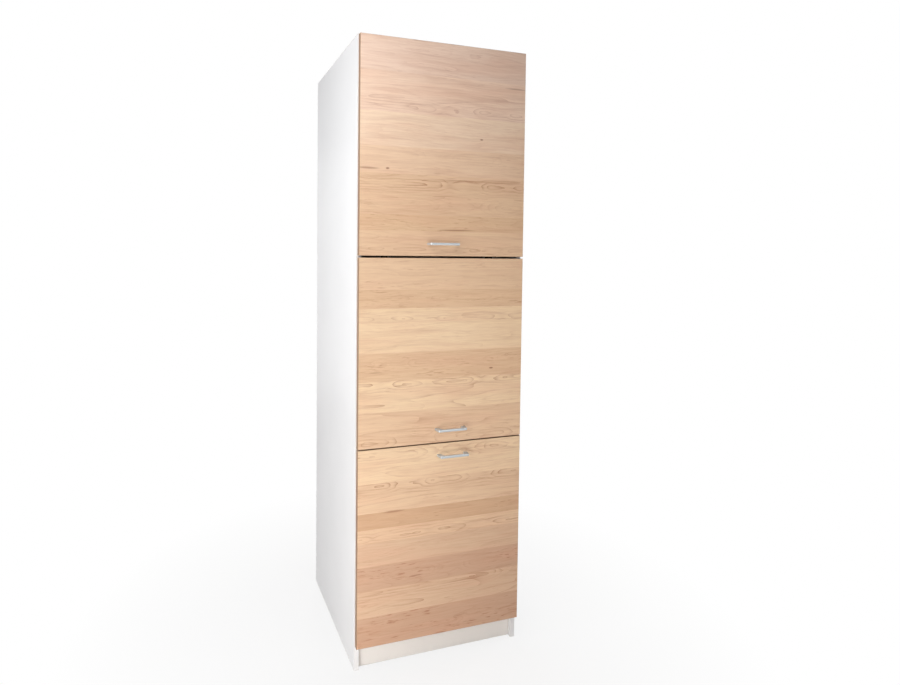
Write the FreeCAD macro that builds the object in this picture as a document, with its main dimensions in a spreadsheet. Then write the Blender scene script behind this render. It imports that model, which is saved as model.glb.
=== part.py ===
import FreeCAD, Part
import os
import Sketcher

# A tall kitchen cabinet in millimetres: two lift-up flaps over one pull-out.
# X runs across, Y from the front to the wall and Z up; the floor is at Z = 0.

doc = FreeCAD.newDocument("TallCabinet")
sheet = doc.addObject("Spreadsheet::Sheet", "Sizes")

LENGTHS = {
    # Carcass
    "carcass_width": 600,
    "carcass_depth": 580,
    "carcass_height": 2070,
    "board": 16,
    "back_thickness": 3,
    "back_inset": 16,
    "back_top_gap": 2,
    "groove_depth": 8,
    "shelf_back_gap": 2,
    "joiner_wall": 1,
    "joiner_height": 16,
    "base_cover": 2,
    "plinth_recess": 16,
    "plinth_side_gap": 0.5,
    "glide_height": 2,
    "glide_radius": 7,
    "glide_inset": 45,
    # Fronts
    "front_thickness": 18,
    "front_gap": 3,
    "side_reveal": 2.5,
    "top_reveal": 3,
    "upper_gap": 6,
    "middle_front_height": 620,
    "lower_gap": 3,
    "lower_front_height": 655,
    "plinth_zone": 84,
    "edge_radius": 1.2,
    # Carcass joints and loose shelves
    "cam_radius": 7.5,
    "cam_depth": 12.5,
    "cam_height": 12,
    "cam_edge": 24,
    "cam_inset": 60,
    "bolt_radius": 3,
    "bolt_past_cam": 2,
    "thread_radius": 2.5,
    "thread_length": 10,
    "dowel_radius": 4,
    "dowel_in_board": 19,
    "dowel_in_side": 10,
    "dowel_pitch": 32,
    "loose_shelf_setback": 70,
    "loose_shelf_gap": 1,
    "pin_radius": 2.5,
    "pin_in_side": 8,
    "pin_reach": 9,
    "pin_inset": 40,
    "pin_pitch": 32,
    # Brackets
    "angle_wall": 2,
    "angle_leg": 40,
    "angle_width": 40,
    "wall_hole_radius": 3,
    "wall_hole_drop": 24,
    "wall_hole_spacing": 400,
    "plinth_angle_leg": 30,
    "plinth_angle_spacing": 360,
    # Screws
    "screw_radius": 2,
    "screw_length": 12,
    "screw_head_radius": 3.6,
    "screw_head_height": 1.6,
    # Handles
    "handle_length": 110,
    "handle_top_length": 104,
    "handle_foot": 13,
    "handle_projection": 28,
    "handle_bar": 7,
    "handle_height": 8,
    "handle_corner": 5,
    "handle_edge": 2,
    "handle_spacing": 96,
    "handle_from_edge": 40,
    "middle_handle_rise": 46,
    "handle_thread": 10,
    "upper_handle_shift": 9,
    "middle_handle_shift": 26,
    "lower_handle_shift": 35,
    # Flap hinges
    "hinge_inset": 90,
    "hinge_depth": 8,
    "hinge_drop": 7.5,
    "hinge_pin_radius": 1.5,
    "hinge_pin_reach": 10,
    "cup_radius": 17.5,
    "cup_edge": 3,
    "cup_bore_depth": 13.5,
    "cup_wall": 0.8,
    "cup_floor": 0.6,
    "cup_flange_width": 58,
    "cup_flange_height": 18,
    "cup_flange_wall": 1.2,
    "cup_screw_spacing": 46,
    "cheek_start": 5.4,
    "cheek_half": 2.6,
    "arm_half_width": 5,
    "arm_wall": 2.4,
    "arm_drop": 20,
    "arm_reach": 52,
    "eye_radius": 2.6,
    "plate_start": 20,
    "plate_length": 32,
    "plate_half_width": 6,
    "plate_wing_width": 52,
    "plate_wing_length": 16,
    "plate_wing_wall": 2.4,
    "plate_screw_spacing": 38,
    # Gas struts
    "strut_from_side": 13,
    "strut_behind_pin": 28,
    "strut_top_drop": 50,
    "strut_low_drop": 300,
    "strut_eye_radius": 5,
    "strut_eye_half": 4,
    "strut_stud_radius": 3,
    "strut_tube_radius": 7.5,
    "strut_tube_start": 12,
    "strut_tube_length": 170,
    "strut_neck_radius": 3.5,
    "strut_rod_radius": 3.5,
    "strut_rod_inside": 70,
    "strut_bracket_wall": 3,
    "strut_bracket_width": 22,
    "strut_bracket_height": 40,
    "strut_bracket_screw": 13,
    "strut_tab_half": 6,
    "strut_tab_past": 4,
    # Buffers
    "buffer_radius": 5,
    "buffer_height": 2.6,
    "buffer_inset": 14,
    # Pull-out
    "runner_room": 12.7,
    "runner_wall": 1.2,
    "runner_half": 22.5,
    "runner_step": 0.4,
    "runner_lip": 1,
    "runner_length": 500,
    "runner_start": 4,
    "runner_above_box": 60,
    "runner_screw_pitch": 200,
    "drawer_side": 12,
    "drawer_depth": 515,
    "drawer_side_height": 180,
    "drawer_back_height": 290,
    "drawer_lift": 20,
    "drawer_floor": 8,
    "drawer_floor_lift": 10,
    "front_screw_spacing": 400,
    "front_screw_rise": 50,
    "front_screw_pitch": 90,
    "rail_radius": 5,
    "rail_flange_radius": 9,
    "rail_flange": 4,
    "rail_drop": 20,
    # Clearances
    "slack": 0.1,
    "run_gap": 0.4,
    "overrun": 5,
}

# Heights of the loose shelves in their compartments and the rows of pin holes around each.
LOOSE_SHELF_SHARE = 0.5
PIN_ROW_SHARES = (-2, -1, 0, 1, 2)
# Hole in the back panel against the hole in the wall angle, and the angle's own screw along its leg.
BACK_HOLE_SHARE = 1.5
ANGLE_SCREW_SHARE = 0.6
# Thickness of a handle's bend against its foot, and the limits that tell long edges from short ones.
HANDLE_BEND_SHARE = 1.4
LONG_SHARE = 0.9
SHORT_SHARE = 0.1


class Size:
    """One length, held as a number and as the expression that binds a property to the sheet."""

    def __init__(self, text, value):
        self.text = text
        self.value = value

    def __float__(self):
        return float(self.value)

    def __neg__(self):
        return Size(f"(-{self.text})", -self.value)

    def __add__(self, other):
        other = as_size(other)
        return Size(f"({self.text} + {other.text})", self.value + other.value)

    def __sub__(self, other):
        other = as_size(other)
        return Size(f"({self.text} - {other.text})", self.value - other.value)

    def __mul__(self, share):
        return Size(f"({self.text} * {share})", self.value * share)

    def __truediv__(self, share):
        return Size(f"({self.text} / {share})", self.value / share)


def as_size(thing):
    if isinstance(thing, Size):
        return thing
    return Size(repr(thing), thing)


class Sizes:
    """The sheet's lengths by name."""


s = Sizes()
for row, (name, value) in enumerate(LENGTHS.items(), 1):
    sheet.set(f"A{row}", name)
    sheet.set(f"B{row}", str(value))
    sheet.setAlias(f"B{row}", name)
    setattr(s, name, Size(f"Sizes.{name}", value))
doc.recompute()

nodes = []
turns = {
    "x": FreeCAD.Rotation(FreeCAD.Vector(0, 1, 0), 90),
    "y": FreeCAD.Rotation(FreeCAD.Vector(1, 0, 0), -90),
    "z": FreeCAD.Rotation(),
}


def bind(piece, **sizes):
    for prop, size in sizes.items():
        piece.setExpression(prop, as_size(size).text)


def place(piece, point):
    for letter, size in zip("xyz", point):
        piece.setExpression("Placement.Base." + letter, as_size(size).text)


def keep(piece):
    nodes.append(piece)
    return piece


def box(label, xs, ys, zs):
    """A board between two limits along each axis."""
    piece = doc.addObject("Part::Box", label)
    lows = [as_size(span[0]) for span in (xs, ys, zs)]
    highs = [as_size(span[1]) for span in (xs, ys, zs)]
    bind(piece, Length=highs[0] - lows[0], Width=highs[1] - lows[1], Height=highs[2] - lows[2])
    place(piece, lows)
    return piece


def rod(label, axis, radius, span, at):
    """A round bar along one axis; at holds its other two coordinates."""
    piece = doc.addObject("Part::Cylinder", label)
    piece.Placement = FreeCAD.Placement(FreeCAD.Vector(), turns[axis])
    low = as_size(span[0])
    bind(piece, Radius=radius, Height=as_size(span[1]) - low)
    point = list(at)
    point.insert("xyz".index(axis), low)
    place(piece, point)
    return piece


def group(label, pieces):
    bundle = doc.addObject("Part::Compound", label)
    bundle.Links = pieces
    return bundle


def fused(label, pieces):
    whole = doc.addObject("Part::MultiFuse", label)
    whole.Shapes = pieces
    return whole


def cut(label, stock, tools):
    piece = doc.addObject("Part::Cut", label)
    piece.Base = stock
    piece.Tool = group(label + "_tools", tools)
    return piece


def flip(side, low, high):
    """Limits across the cabinet, mirrored for the left side."""
    low = as_size(low)
    high = as_size(high)
    if side < 0:
        return (-high, -low)
    return (low, high)


def profile(body, role, points):
    """A closed sketch whose corners are all bound to the sheet."""
    sketch = body.newObject("Sketcher::SketchObject", body.Name + "_sketch")
    plane = next(item for item in body.Origin.OriginFeatures if item.Role == role)
    sketch.AttachmentSupport = [(plane, "")]
    sketch.MapMode = "FlatFace"
    corners = [FreeCAD.Vector(float(as_size(x)), float(as_size(y)), 0) for x, y in points]
    count = len(corners)
    for index in range(count):
        sketch.addGeometry(Part.LineSegment(corners[index], corners[(index + 1) % count]))
    for index in range(count):
        sketch.addConstraint(Sketcher.Constraint("Coincident", index, 2, (index + 1) % count, 1))
    for index, point in enumerate(points):
        for letter, size in zip("XY", point):
            size = as_size(size)
            rule = Sketcher.Constraint("Distance" + letter, -1, 1, index, 1, float(size))
            number = sketch.addConstraint(rule)
            sketch.setExpression(f"Constraints[{number}]", size.text)
    return sketch


def padded(label, role, points, length):
    """A body padded from a closed outline."""
    body = doc.addObject("PartDesign::Body", label)
    sketch = profile(body, role, points)
    pad = body.newObject("PartDesign::Pad", label + "_pad")
    pad.Profile = sketch
    bind(pad, Length=length)
    doc.recompute()
    return body


def round_off(body, names, radius):
    """A fillet on named edges or faces of the body's last feature."""
    last = body.Tip
    fillet = body.newObject("PartDesign::Fillet", body.Name + "_round")
    fillet.Base = (last, names)
    bind(fillet, Radius=radius)
    doc.recompute()


# Levels and planes shared by the pieces
half = s.carcass_width / 2
inner = half - s.board
whole_depth = s.carcass_depth + s.front_gap + s.front_thickness + s.handle_projection
back_y = whole_depth / 2
front_y = back_y - s.carcass_depth
door_back = front_y - s.front_gap
door_face = door_back - s.front_thickness
back_face = back_y - s.back_inset - s.back_thickness
rear_y = back_face - s.shelf_back_gap
lower_bottom = s.plinth_zone
lower_top = lower_bottom + s.lower_front_height
middle_bottom = lower_top + s.lower_gap
middle_top = middle_bottom + s.middle_front_height
upper_bottom = middle_top + s.upper_gap
upper_top = s.carcass_height - s.top_reveal
base_under = lower_bottom + s.base_cover
base_top = base_under + s.board
top_under = s.carcass_height - s.board
upper_shelf_under = upper_bottom
upper_shelf_top = upper_shelf_under + s.board
lower_shelf_under = (middle_bottom + lower_top - s.board) / 2
lower_shelf_top = lower_shelf_under + s.board

# Holes that the later pieces need in the boards
side_tools = {-1: [], 1: []}
board_tools = {"top_panel": [], "upper_fixed_shelf": [], "lower_fixed_shelf": [], "base_panel": []}
channel_tools = {"top_panel": [], "upper_fixed_shelf": [], "lower_fixed_shelf": [], "base_panel": []}
back_tools = []


def screw(axis, at, seat, way):
    """A screw with its head on the seat plane and its shank along way, and the hole that takes it."""
    reach = s.screw_length * way
    head = s.screw_head_height * -way
    shank = sorted((seat, seat + reach), key=float)
    cap = sorted((seat, seat + head), key=float)
    bore = sorted((seat - s.overrun * way, seat + reach + s.slack * way), key=float)
    solid = fused("screw", [
        rod("screw_shank", axis, s.screw_radius, shank, at),
        rod("screw_head", axis, s.screw_head_radius, cap, at),
    ])
    return solid, rod("screw_hole", axis, s.screw_radius + s.slack, bore, at)


# Cam locks, cam bolts and dowels that draw the four fixed boards to the sides
fixed_boards = {
    "top_panel": (top_under, 1),
    "upper_fixed_shelf": (upper_shelf_under, -1),
    "lower_fixed_shelf": (lower_shelf_under, -1),
    "base_panel": (base_under, -1),
}
cam_blanks = []
cam_bores = []
bolts = []
dowels = []
for label, (under, way) in fixed_boards.items():
    middle = under + s.board / 2
    for side in (-1, 1):
        for cam_y, step in ((front_y + s.cam_inset, 1), (rear_y - s.cam_inset, -1)):
            dowel_y = cam_y + s.dowel_pitch * step
            cam_x = (inner - s.cam_edge) * side
            if way > 0:
                hole = (under + s.board - s.cam_depth, under + s.board + s.overrun)
                lock = (under + s.board - s.cam_depth, under + s.board - s.cam_depth + s.cam_height)
            else:
                hole = (under - s.overrun, under + s.cam_depth)
                lock = (under + s.cam_depth - s.cam_height, under + s.cam_depth)
            board_tools[label].append(rod("cam_hole", "z", s.cam_radius, hole, (cam_x, cam_y)))
            cam_blanks.append(rod("cam", "z", s.cam_radius - s.slack, lock, (cam_x, cam_y)))
            channel = flip(side, inner - s.cam_edge - s.bolt_past_cam - s.slack, inner + s.overrun)
            bore_radius = s.bolt_radius + s.slack
            channel_tools[label].append(rod("bolt_channel", "x", bore_radius, channel, (cam_y, middle)))
            cam_bores.append(rod("cam_bore", "x", bore_radius, channel, (cam_y, middle)))
            bolts += [
                rod("bolt", "x", s.bolt_radius,
                    flip(side, inner - s.cam_edge - s.bolt_past_cam, inner), (cam_y, middle)),
                rod("bolt_thread", "x", s.thread_radius,
                    flip(side, inner, inner + s.thread_length), (cam_y, middle)),
            ]
            side_tools[side].append(rod(
                "thread_hole", "x", s.thread_radius + s.slack,
                flip(side, inner - s.overrun, inner + s.thread_length + s.slack), (cam_y, middle)))
            board_tools[label].append(rod(
                "dowel_hole", "x", s.dowel_radius + s.slack,
                flip(side, inner - s.dowel_in_board - s.slack, inner + s.overrun), (dowel_y, middle)))
            side_tools[side].append(rod(
                "dowel_hole", "x", s.dowel_radius + s.slack,
                flip(side, inner - s.overrun, inner + s.dowel_in_side + s.slack), (dowel_y, middle)))
            dowels.append(rod(
                "dowel", "x", s.dowel_radius,
                flip(side, inner - s.dowel_in_board, inner + s.dowel_in_side), (dowel_y, middle)))
keep(cut("cam_locks", group("cam_blanks", cam_blanks), cam_bores))
keep(fused("cam_bolts", bolts))
keep(group("wood_dowels", dowels))

# Loose shelves on steel pins, with rows of pin holes in the sides
pins = []
for label, low, high in (
    ("upper_loose_shelf", upper_shelf_top, top_under),
    ("middle_loose_shelf", lower_shelf_top, upper_shelf_under),
):
    pin_z = low + (high - low) * LOOSE_SHELF_SHARE
    shelf_under = pin_z + s.pin_radius
    shelf_front = front_y + s.loose_shelf_setback
    shelf_rear = rear_y - s.loose_shelf_gap
    shelf_half = inner - s.loose_shelf_gap
    keep(box(label, (-shelf_half, shelf_half), (shelf_front, shelf_rear), (shelf_under, shelf_under + s.board)))
    for side in (-1, 1):
        for pin_y in (shelf_front + s.pin_inset, shelf_rear - s.pin_inset):
            reach = flip(side, inner - s.pin_reach, inner + s.pin_in_side)
            pins.append(rod("pin", "x", s.pin_radius, reach, (pin_y, pin_z)))
            hole = flip(side, inner - s.overrun, inner + s.pin_in_side + s.slack)
            for share in PIN_ROW_SHARES:
                at = (pin_y, pin_z + s.pin_pitch * share)
                side_tools[side].append(rod("pin_hole", "x", s.pin_radius + s.slack, hole, at))
keep(group("shelf_pins", pins))

# Back panels in side grooves, joined behind the upper fixed shelf
back_half = inner + s.groove_depth - s.slack * 2
joint_z = upper_shelf_under + s.board / 2
back_ys = (back_face, back_face + s.back_thickness)
web_half = s.joiner_wall / 2
groove_ys = (back_face - s.slack, back_face + s.back_thickness + s.slack)
for side in (-1, 1):
    groove_xs = flip(side, inner - s.overrun, inner + s.groove_depth)
    groove_zs = (base_under - s.slack, s.carcass_height + s.overrun)
    side_tools[side].append(box("groove", groove_xs, groove_ys, groove_zs))
keep(box("lower_back_panel", (-back_half, back_half), back_ys, (base_under, joint_z - web_half)))
flange_zs = (joint_z - s.joiner_height / 2, joint_z + s.joiner_height / 2)
joiner_xs = (-(inner - s.slack), inner - s.slack)
keep(fused("back_panel_joiner", [
    box("joiner_web", joiner_xs, groove_ys, (joint_z - web_half, joint_z + web_half)),
    box("joiner_front", joiner_xs, (groove_ys[0] - s.joiner_wall, groove_ys[0]), flange_zs),
    box("joiner_rear", joiner_xs, (groove_ys[1], groove_ys[1] + s.joiner_wall), flange_zs),
]))

# Steel angles under the top panel that take the wall screws
angles = []
carcass_screws = []
wall_z = top_under - s.wall_hole_drop
for side in (-1, 1):
    wall_x = s.wall_hole_spacing * side / 2
    xs = (wall_x - s.angle_width / 2, wall_x + s.angle_width / 2)
    lying = (top_under - s.angle_wall, top_under)
    blank = fused("wall_angle", [
        box("angle_flat", xs, (back_face - s.angle_leg, back_face), lying),
        box("angle_upright", xs, (back_face - s.angle_wall, back_face), (top_under - s.angle_leg, top_under)),
    ])
    wall_span = (back_face - s.angle_leg, back_face + s.overrun)
    wall_hole = rod("wall_hole", "y", s.wall_hole_radius, wall_span, (wall_x, wall_z))
    back_radius = s.wall_hole_radius * BACK_HOLE_SHARE
    back_tools.append(rod("back_hole", "y", back_radius, wall_span, (wall_x, wall_z)))
    screw_at = (wall_x, back_face - s.angle_leg * ANGLE_SCREW_SHARE)
    solid, hole = screw("z", screw_at, lying[0], 1)
    carcass_screws.append(solid)
    board_tools["top_panel"].append(hole)
    angles.append(cut("wall_angle_drilled", blank, [wall_hole, hole]))
keep(group("wall_brackets", angles))
upper_back_blank = box("upper_back_blank", (-back_half, back_half), back_ys,
                       (joint_z + web_half, s.carcass_height - s.back_top_gap))
keep(cut("upper_back_panel", upper_back_blank, back_tools))

# Plinth between the sides, held by two angles under the base panel
plinth_half = inner - s.plinth_side_gap
plinth_ys = (front_y + s.plinth_recess, front_y + s.plinth_recess + s.board)
keep(box("plinth_panel", (-plinth_half, plinth_half), plinth_ys, (s.glide_height, base_under)))
plinth_angles = []
for side in (-1, 1):
    mid_x = s.plinth_angle_spacing * side / 2
    xs = (mid_x - s.plinth_angle_leg / 2, mid_x + s.plinth_angle_leg / 2)
    plinth_angles.append(fused("plinth_angle", [
        box("plinth_angle_flat", xs, (plinth_ys[1], plinth_ys[1] + s.plinth_angle_leg),
            (base_under - s.angle_wall, base_under)),
        box("plinth_angle_upright", xs, (plinth_ys[1], plinth_ys[1] + s.angle_wall),
            (base_under - s.plinth_angle_leg, base_under)),
    ]))
keep(group("plinth_brackets", plinth_angles))
glides = []
for side in (-1, 1):
    for glide_y in (front_y + s.glide_inset, back_y - s.glide_inset):
        at = ((half - s.board / 2) * side, glide_y)
        glides.append(rod("glide", "z", s.glide_radius, (0, s.glide_height), at))
keep(group("floor_glides", glides))


def front_board(label, bottom, top):
    """A front with its face edges rounded."""
    front_half = half - s.side_reveal
    outline = [(-front_half, bottom), (front_half, bottom), (front_half, top), (-front_half, top)]
    body = padded(label + "_blank", "XZ_Plane", outline, s.front_thickness)
    place(body, (0, door_back, 0))
    doc.recompute()
    faces = body.Tip.Shape.Faces
    face = min(range(len(faces)), key=lambda index: faces[index].CenterOfMass.y)
    round_off(body, [f"Face{face + 1}"], s.edge_radius)
    return body


def handle(prefix, mid_x, mid_z):
    """A bow handle, its two screws from behind and the holes for them in the front."""
    reach = s.handle_projection
    grip = reach - s.handle_bar
    foot = s.handle_length / 2
    bar = s.handle_top_length / 2
    inside = bar - s.handle_foot * HANDLE_BEND_SHARE
    outline = [
        (-foot, 0), (-bar, -reach), (bar, -reach), (foot, 0),
        (foot - s.handle_foot, 0), (inside, -grip), (-inside, -grip), (s.handle_foot - foot, 0),
    ]
    body = padded(prefix + "_handle_blank", "XY_Plane", outline, s.handle_height)
    place(body, (mid_x, door_face, mid_z - s.handle_height / 2))
    doc.recompute()
    tall = []
    for index, edge in enumerate(body.Tip.Shape.Edges):
        box_of_edge = edge.BoundBox
        upright = box_of_edge.ZLength > float(s.handle_height) * LONG_SHARE
        if upright and box_of_edge.YMax < -float(grip) * LONG_SHARE:
            tall.append(f"Edge{index + 1}")
    round_off(body, tall, s.handle_corner)
    rims = []
    for index, face in enumerate(body.Tip.Shape.Faces):
        if face.BoundBox.ZLength < float(s.handle_height) * SHORT_SHARE:
            rims.append(f"Face{index + 1}")
    round_off(body, rims, s.handle_edge)
    threads = []
    screws = []
    holes = []
    for side in (-1, 1):
        at = (mid_x + s.handle_spacing * side / 2, mid_z)
        tip = door_face - s.handle_thread
        threads.append(rod("handle_thread", "y", s.screw_radius + s.slack,
                           (tip - s.slack, door_face + s.overrun), at))
        holes.append(rod("handle_hole", "y", s.screw_radius + s.slack * 3,
                         (door_face - s.overrun, door_back + s.overrun), at))
        screws.append(fused("handle_screw", [
            rod("handle_screw_shank", "y", s.screw_radius, (tip, door_back), at),
            rod("handle_screw_head", "y", s.screw_head_radius, (door_back, door_back + s.screw_head_height), at),
        ]))
    keep(cut(prefix + "_handle", body, threads))
    keep(group(prefix + "_handle_screws", screws))
    return holes


strut_side_brackets = []


def hinges(prefix, top, under, board_name, flap_screws):
    """Two single-pivot cup hinges under the board above a flap."""
    pin_y = door_face + s.hinge_depth
    pin_z = top - s.hinge_drop
    cup_z = top - s.cup_edge - s.cup_radius
    foot_z = pin_z - s.arm_drop
    plate_low = foot_z + s.arm_wall / 2
    cups = []
    hinge_pins = []
    arms = []
    plates = []
    holes = []
    for side in (-1, 1):
        mid_x = (inner - s.hinge_inset) * side
        cup_at = (mid_x, cup_z)
        floor_y = door_back - s.cup_bore_depth
        holes.append(rod("cup_bore", "y", s.cup_radius, (floor_y, door_back + s.overrun), cup_at))
        flange_y = door_back + s.cup_flange_wall
        flange_zs = (cup_z - s.cup_flange_height / 2, cup_z + s.cup_flange_height / 2)
        shell = fused("cup_shell", [
            rod("cup_outer", "y", s.cup_radius - s.slack, (floor_y, flange_y), cup_at),
            box("cup_flange", (mid_x - s.cup_flange_width / 2, mid_x + s.cup_flange_width / 2),
                (door_back, flange_y), flange_zs),
        ])
        cavity = rod("cup_inner", "y", s.cup_radius - s.slack - s.cup_wall,
                     (floor_y + s.cup_floor, flange_y + s.overrun), cup_at)
        cheeks = []
        for hand in (-1, 1):
            near = mid_x + s.cheek_start * hand
            far = mid_x + s.cup_radius * hand
            xs = sorted((near, far), key=float)
            cheeks.append(box("cheek", xs, (floor_y, pin_y + s.cheek_half),
                              (pin_z - s.cheek_half, pin_z + s.cheek_half)))
        hollow = cut("cup_hollow", cavity, cheeks)
        pin_xs = (mid_x - s.hinge_pin_reach, mid_x + s.hinge_pin_reach)
        pin_bore = rod("pin_bore", "x", s.hinge_pin_radius + s.slack / 2,
                       (pin_xs[0] - s.slack, pin_xs[1] + s.slack), (pin_y, pin_z))
        hinge_pins.append(rod("hinge_pin", "x", s.hinge_pin_radius, pin_xs, (pin_y, pin_z)))
        screw_holes = []
        for hand in (-1, 1):
            at = (mid_x + s.cup_screw_spacing * hand / 2, cup_z)
            solid, hole = screw("y", at, flange_y, -1)
            flap_screws.append(solid)
            holes.append(hole)
            screw_holes.append(hole)
        hollowed = cut("cup_hollowed", shell, [hollow])
        cups.append(cut("cup", hollowed, [pin_bore] + screw_holes))
        arm_xs = (mid_x - s.arm_half_width, mid_x + s.arm_half_width)
        arm_ys = (pin_y - s.arm_wall / 2, pin_y + s.arm_wall / 2)
        blank = fused("arm_blank", [
            rod("arm_eye", "x", s.eye_radius, arm_xs, (pin_y, pin_z)),
            box("arm_stem", arm_xs, arm_ys, (foot_z - s.arm_wall / 2, pin_z)),
            box("arm_foot", arm_xs, (arm_ys[0], front_y + s.arm_reach), (foot_z - s.arm_wall / 2, plate_low)),
        ])
        eye_bore = rod("eye_bore", "x", s.hinge_pin_radius + s.slack * 3,
                       (arm_xs[0] - s.overrun, arm_xs[1] + s.overrun), (pin_y, pin_z))
        arms.append(cut("arm", blank, [eye_bore]))
        plate_ys = (front_y + s.plate_start, front_y + s.plate_start + s.plate_length)
        wing_y = front_y + s.plate_start + s.plate_length / 2
        wing_low = under - s.plate_wing_wall
        plate_blank = fused("plate_blank", [
            box("plate_block", (mid_x - s.plate_half_width, mid_x + s.plate_half_width), plate_ys,
                (plate_low, under)),
            box("plate_wing", (mid_x - s.plate_wing_width / 2, mid_x + s.plate_wing_width / 2),
                (wing_y - s.plate_wing_length / 2, wing_y + s.plate_wing_length / 2), (wing_low, under)),
        ])
        wing_holes = []
        for hand in (-1, 1):
            solid, hole = screw("z", (mid_x + s.plate_screw_spacing * hand / 2, wing_y), wing_low, 1)
            carcass_screws.append(solid)
            board_tools[board_name].append(hole)
            wing_holes.append(hole)
        plates.append(cut("plate", plate_blank, wing_holes))
    keep(group(prefix + "_hinge_cups", cups))
    keep(group(prefix + "_hinge_pins", hinge_pins))
    keep(group(prefix + "_hinge_arms", arms))
    keep(group(prefix + "_hinge_plates", plates))
    return holes


def struts(prefix, top, flap_screws):
    """Two gas struts that stand upright between the sides and a closed flap."""
    strut_y = door_face + s.hinge_depth + s.strut_behind_pin
    high_z = top - s.hinge_drop - s.strut_top_drop
    low_z = top - s.hinge_drop - s.strut_low_drop
    tube_low = low_z + s.strut_tube_start
    tube_high = tube_low + s.strut_tube_length
    tubes = []
    rods = []
    flap_brackets = []
    holes = []
    for side in (-1, 1):
        strut_x = (inner - s.strut_from_side) * side
        eye_xs = (strut_x - s.strut_eye_half, strut_x + s.strut_eye_half)
        blank = fused("strut_blank", [
            rod("strut_eye", "x", s.strut_eye_radius, eye_xs, (strut_y, low_z)),
            rod("strut_neck", "z", s.strut_neck_radius, (low_z, tube_low), (strut_x, strut_y)),
            rod("strut_tube", "z", s.strut_tube_radius, (tube_low, tube_high), (strut_x, strut_y)),
        ])
        tubes.append(cut("strut_cylinder", blank, [
            rod("stud_bore", "x", s.strut_stud_radius + s.run_gap,
                (eye_xs[0] - s.overrun, eye_xs[1] + s.overrun), (strut_y, low_z)),
            rod("rod_bore", "z", s.strut_rod_radius + s.run_gap,
                (tube_high - s.strut_rod_inside - s.overrun, tube_high + s.overrun), (strut_x, strut_y)),
        ]))
        rods.append(fused("strut_rod", [
            rod("rod_bar", "z", s.strut_rod_radius, (tube_high - s.strut_rod_inside, high_z), (strut_x, strut_y)),
            rod("rod_eye", "x", s.strut_eye_radius, eye_xs, (strut_y, high_z)),
        ]))
        plate_xs = flip(side, inner - s.strut_bracket_wall, inner)
        plate_ys = (strut_y - s.strut_bracket_width / 2, strut_y + s.strut_bracket_width / 2)
        plate_zs = (low_z - s.strut_bracket_height / 2, low_z + s.strut_bracket_height / 2)
        stud_xs = flip(side, inner - s.strut_from_side - s.strut_eye_half, inner)
        plate = fused("side_bracket_blank", [
            box("side_plate", plate_xs, plate_ys, plate_zs),
            rod("side_stud", "x", s.strut_stud_radius, stud_xs, (strut_y, low_z)),
        ])
        plate_holes = []
        for hand in (-1, 1):
            at = (strut_y, low_z + s.strut_bracket_screw * hand)
            solid, hole = screw("x", at, (inner - s.strut_bracket_wall) * side, side)
            carcass_screws.append(solid)
            side_tools[side].append(hole)
            plate_holes.append(hole)
        strut_side_brackets.append(cut("side_bracket", plate, plate_holes))
        tab_far = inner - s.strut_from_side - s.strut_eye_half - s.run_gap
        tab_xs = flip(side, tab_far - s.strut_bracket_wall, tab_far)
        base_xs = flip(side, tab_far - s.strut_bracket_width, tab_far)
        base_ys = (door_back, door_back + s.strut_bracket_wall)
        base = fused("flap_bracket_blank", [
            box("flap_plate", base_xs, base_ys,
                (high_z - s.strut_bracket_height / 2, high_z + s.strut_bracket_height / 2)),
            box("flap_tab", tab_xs, (door_back, strut_y + s.strut_tab_past),
                (high_z - s.strut_tab_half, high_z + s.strut_tab_half)),
        ])
        base_holes = []
        for hand in (-1, 1):
            at = ((tab_far - s.strut_bracket_width / 2) * side, high_z + s.strut_bracket_screw * hand)
            solid, hole = screw("y", at, base_ys[1], -1)
            flap_screws.append(solid)
            holes.append(hole)
            base_holes.append(hole)
        flap_brackets.append(cut("flap_bracket", base, base_holes))
    keep(group(prefix + "_strut_cylinders", tubes))
    keep(group(prefix + "_strut_rods", rods))
    keep(group(prefix + "_strut_flap_brackets", flap_brackets))
    return holes


def buffers(prefix, at_z):
    """Two soft buffers behind a front that meet the edges of the sides."""
    pads = []
    for side in (-1, 1):
        at = ((half - s.board / 2) * side, at_z)
        pads.append(rod("buffer", "y", s.buffer_radius, (door_back, door_back + s.buffer_height), at))
    keep(group(prefix + "_buffers", pads))


# Upper flap, whose handle sits left of the middle
upper_blank = front_board("upper_front", upper_bottom, upper_top)
upper_holes = handle("upper", -s.upper_handle_shift, upper_bottom + s.handle_from_edge)
upper_screws = []
upper_holes += hinges("upper", upper_top, top_under, "top_panel", upper_screws)
upper_holes += struts("upper", upper_top, upper_screws)
keep(cut("upper_front", upper_blank, upper_holes))
keep(group("upper_fitting_screws", upper_screws))
buffers("upper", upper_bottom + s.buffer_inset)

# Middle flap, whose handle sits right of the middle
middle_blank = front_board("middle_front", middle_bottom, middle_top)
middle_holes = handle("middle", s.middle_handle_shift, middle_bottom + s.middle_handle_rise)
middle_screws = []
middle_holes += hinges("middle", middle_top, upper_shelf_under, "upper_fixed_shelf", middle_screws)
middle_holes += struts("middle", middle_top, middle_screws)
keep(cut("middle_front", middle_blank, middle_holes))
keep(group("middle_fitting_screws", middle_screws))
buffers("middle", middle_bottom + s.buffer_inset)

keep(group("strut_side_brackets", strut_side_brackets))
keep(group("carcass_fitting_screws", carcass_screws))

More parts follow.
